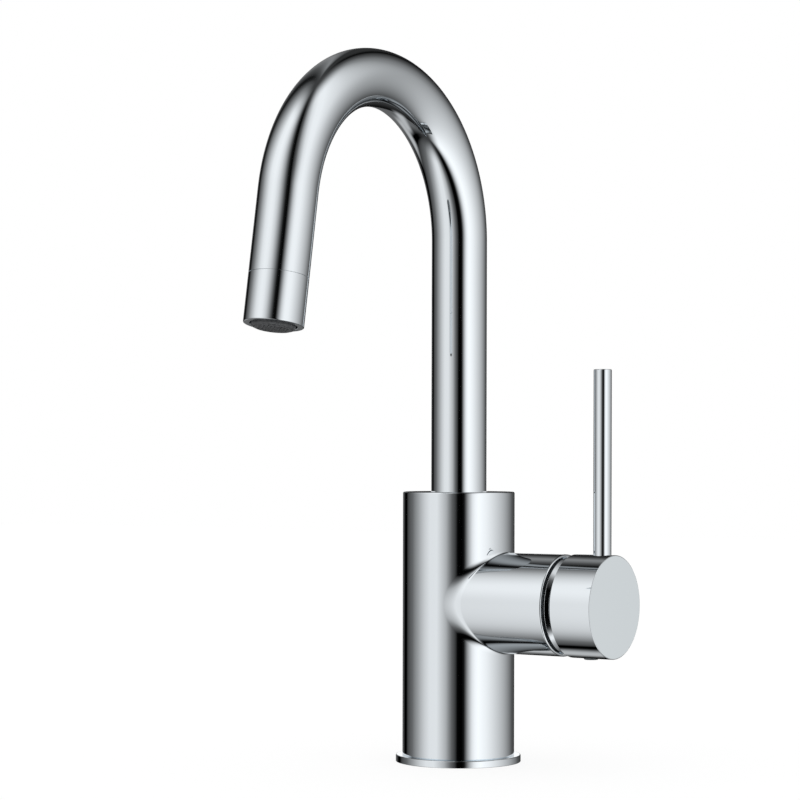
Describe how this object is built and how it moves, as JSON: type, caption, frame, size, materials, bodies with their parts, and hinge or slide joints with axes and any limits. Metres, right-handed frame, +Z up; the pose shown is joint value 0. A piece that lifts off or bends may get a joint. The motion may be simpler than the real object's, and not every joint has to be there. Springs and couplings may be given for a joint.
{
  "type": "gooseneck bar faucet",
  "caption": "Single-lever bar faucet: round tube spout bent in a high arc over a plain cylindrical body on a round flange, with a side valve, a round knob and a thin upright lever rod.",
  "frame": {"origin": "on the body axis, in the plane of the deck that the base flange rests on", "axes": "+Z up along the body, -Y towards the spout's outlet at rest, +X along the valve branch towards the knob"},
  "size_m": [0.1103, 0.1817, 0.3776],
  "materials": {
    "chrome": "polished",
    "brass": "machined",
    "steel": "machined",
    "rubber": "matt",
    "plug_rubber": "satin",
    "ceramic": "lapped ceramic",
    "nylon": "moulded",
    "grey_plastic": "moulded",
    "aerator_plastic": "moulded"
  },
  "bodies": {
    "faucet_base": {"faucet_body": "chrome", "base_flange": "chrome", "base_seal": "rubber", "mounting_shank": "brass", "rubber_washer": "rubber", "steel_washer": "steel", "mounting_nut": "brass", "clamp_screws": "steel", "spout_set_screw": "steel", "cartridge_foot": "grey_plastic", "foot_seals": "rubber", "disc_seals": "rubber", "fixed_disc": "ceramic", "cartridge_housing": "grey_plastic", "cartridge_nut": "brass", "neck_ring": "chrome"},
    "cartridge_rotor": {"rotor": "nylon", "rotor_seal": "rubber", "pivot_pin": "steel"},
    "disc_pack": {"moving_disc": "ceramic", "disc_driver": "nylon"},
    "handle": {"lever_stem": "steel", "handle_hub": "chrome", "lever_rod": "chrome", "rod_stud": "steel", "hub_set_screw": "steel", "set_screw_plug": "plug_rubber"},
    "spout": {"spout_tube": "chrome", "swivel_sleeve": "brass", "swivel_seals": "rubber", "glide_rings": "nylon", "outlet_collar": "chrome", "aerator_housing": "aerator_plastic", "aerator_grid": "aerator_plastic", "flow_restrictor": "nylon", "inlet_strainer": "nylon", "aerator_washer": "rubber"}
  },
  "joints": [
    {"name": "spout_swivel", "type": "hinge", "parent": "faucet_base", "child": "spout", "pos_m": [0, 0, 0.105], "axis": [0, 0, 1], "continuous": true},
    {"name": "temperature_turn", "type": "hinge", "parent": "faucet_base", "child": "cartridge_rotor", "pos_m": [0.05, 0, 0.0729], "axis": [1, 0, 0], "range_deg": [-45, 45]},
    {"name": "flow_tilt", "type": "hinge", "parent": "cartridge_rotor", "child": "handle", "pos_m": [0.05, 0, 0.0729], "axis": [0, 1, 0], "range_deg": [0, 20]},
    {"name": "disc_slide", "type": "slide", "parent": "cartridge_rotor", "child": "disc_pack", "axis": [0, 0, 1], "range_m": [0, 0.0032]}
  ],
  "couplings": [
    {"joint": "disc_slide", "follows": "flow_tilt", "m_per_rad": 0.0088}
  ]
}
